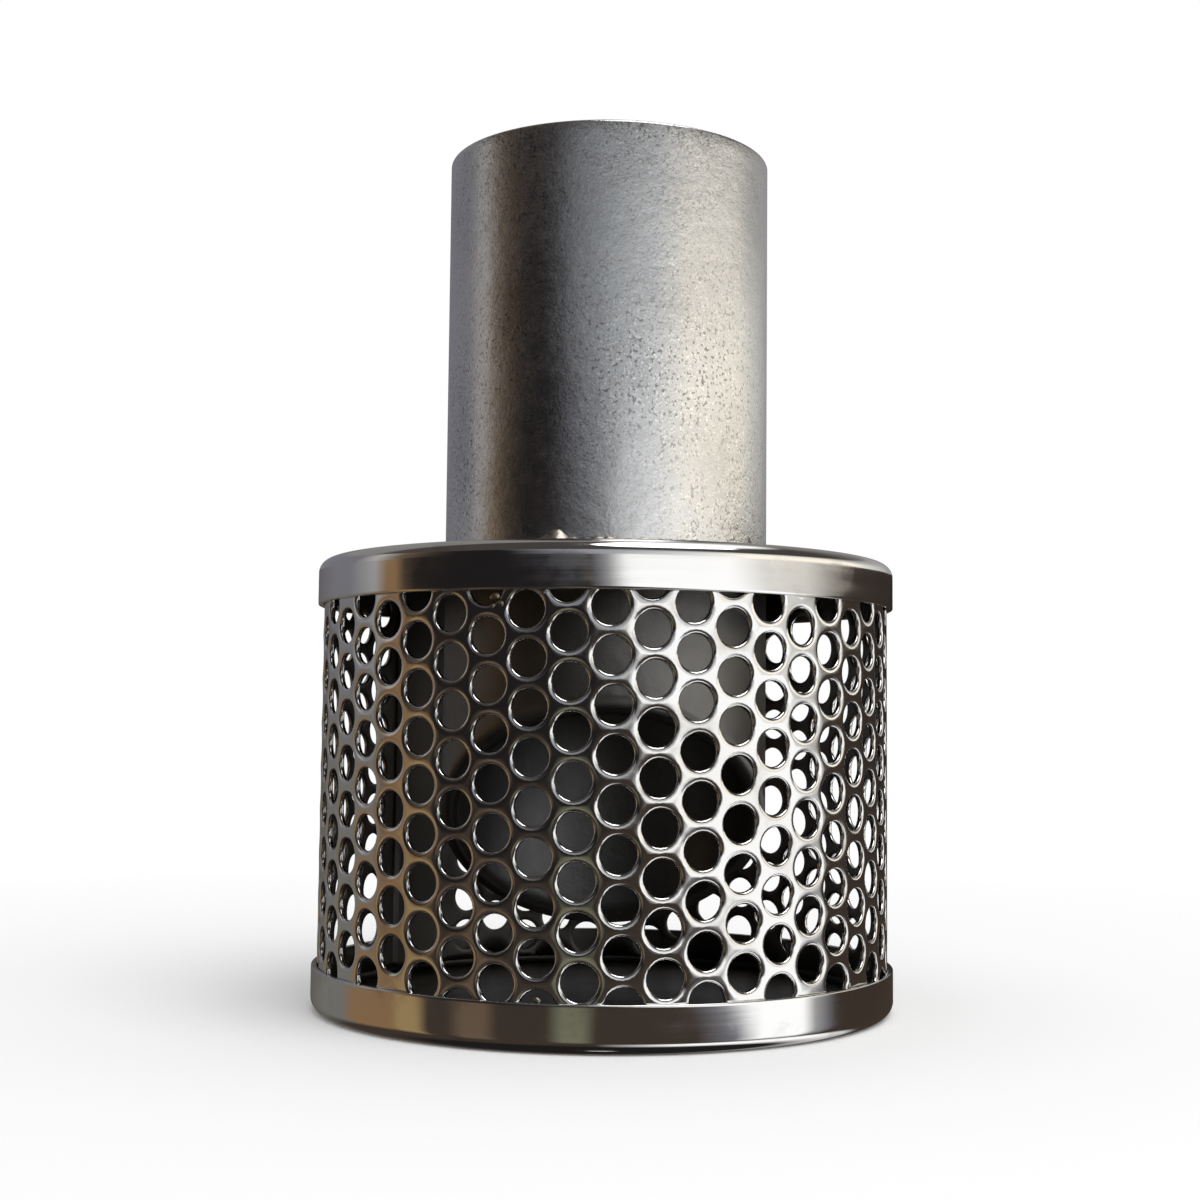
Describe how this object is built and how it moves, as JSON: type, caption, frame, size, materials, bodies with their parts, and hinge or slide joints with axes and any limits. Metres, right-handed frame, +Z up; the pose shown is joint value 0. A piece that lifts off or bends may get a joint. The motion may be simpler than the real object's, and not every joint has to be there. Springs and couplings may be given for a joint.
{
  "type": "pipe strainer",
  "caption": "Suction strainer: perforated round can closed by two pressed caps, on the end of a plain welded pipe shank with a slant-cut inlet inside.",
  "frame": {"origin": "centre of the underside of the bottom cap, on the shank's axis", "axes": "+Z up along the shank's axis towards its open end, -Y the front, where the slant-cut inlet inside the can is highest"},
  "size_m": [0.1068, 0.1068, 0.1575],
  "materials": {
    "shank_pipe": "dull zinc-coated pipe with a fine grain",
    "weld_metal": "as-welded bead",
    "cap_steel": "polished pressed sheet",
    "screen_steel": "bright perforated sheet"
  },
  "bodies": {
    "root": {"shank_pipe": "shank_pipe", "weld_bead": "weld_metal", "top_cap": "cap_steel", "screen": "screen_steel", "bottom_cap": "cap_steel"}
  },
  "joints": []
}
